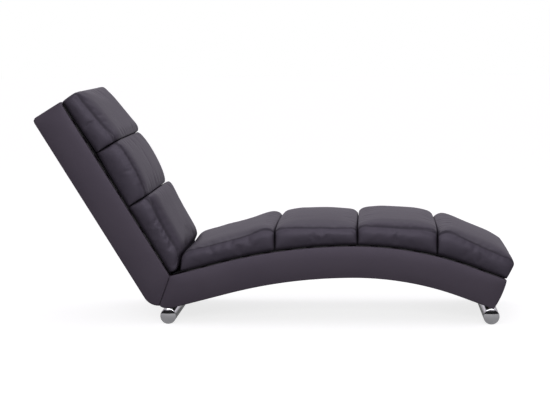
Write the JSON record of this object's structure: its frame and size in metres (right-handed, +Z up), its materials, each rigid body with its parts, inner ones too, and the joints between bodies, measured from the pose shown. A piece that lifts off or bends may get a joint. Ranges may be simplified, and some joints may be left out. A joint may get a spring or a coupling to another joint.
{
  "type": "chaise longue",
  "caption": "Armless chaise longue with a leaning padded back, an arched padded seat and two polished tube feet across its width.",
  "frame": {"origin": "on the floor, in the middle of the length and width", "axes": "+X along the lounger towards the foot end, +Y to its left side, +Z up"},
  "size_m": [1.7035, 0.53, 0.8311],
  "materials": {
    "cover_leather": "smooth coated leather, soft sheen, charcoal brown",
    "cushion_leather": "smooth coated leather, soft sheen, charcoal brown",
    "foam": "open foam",
    "felt": "needle felt",
    "dust_cloth": "spun black cloth",
    "strap": "woven elastic",
    "plywood": "birch plywood",
    "hardwood": "planed beech",
    "hardboard": "hardboard",
    "chrome": "polished chrome",
    "zinc": "zinc plated steel"
  },
  "bodies": {
    "root": {"back_cross_rails": "hardwood", "back_cushion_lower_cover": "cushion_leather", "back_cushion_lower_foam": "foam", "back_cushion_middle_cover": "cushion_leather", "back_cushion_middle_foam": "foam", "back_cushion_upper_cover": "cushion_leather", "back_cushion_upper_foam": "foam", "back_felt": "felt", "back_joint_rail": "hardwood", "back_panel": "hardboard", "back_rear_cover": "cover_leather", "back_rear_padding": "foam", "back_side_board_left": "plywood", "back_side_board_right": "plywood", "back_side_cover_left": "cover_leather", "back_side_cover_right": "cover_leather", "back_side_padding_left": "foam", "back_side_padding_right": "foam", "back_straps": "strap", "back_top_rail": "hardwood", "base_cross_rails": "hardwood", "base_end_cover": "cover_leather", "base_end_padding": "foam", "base_end_rail": "hardwood", "base_heel_cover": "cover_leather", "base_rear_rail": "hardwood", "base_side_board_left": "plywood", "base_side_board_right": "plywood", "base_side_cover_left": "cover_leather", "base_side_cover_right": "cover_leather", "base_side_padding_left": "foam", "base_side_padding_right": "foam", "dust_cloth": "dust_cloth", "foot_bolts": "zinc", "foot_inserts": "zinc", "foot_washers": "zinc", "front_foot_rail": "hardwood", "front_foot_tube": "chrome", "front_tube_cap_left": "chrome", "front_tube_cap_right": "chrome", "joint_bolts": "zinc", "joint_nuts": "zinc", "joint_washers": "zinc", "rear_foot_rail": "hardwood", "rear_foot_tube": "chrome", "rear_tube_cap_left": "chrome", "rear_tube_cap_right": "chrome", "seat_cushion_1_cover": "cushion_leather", "seat_cushion_1_foam": "foam", "seat_cushion_2_cover": "cushion_leather", "seat_cushion_2_foam": "foam", "seat_cushion_3_cover": "cushion_leather", "seat_cushion_3_foam": "foam", "seat_cushion_4_cover": "cushion_leather", "seat_cushion_4_foam": "foam", "seat_felt": "felt", "seat_straps": "strap"}
  },
  "joints": []
}
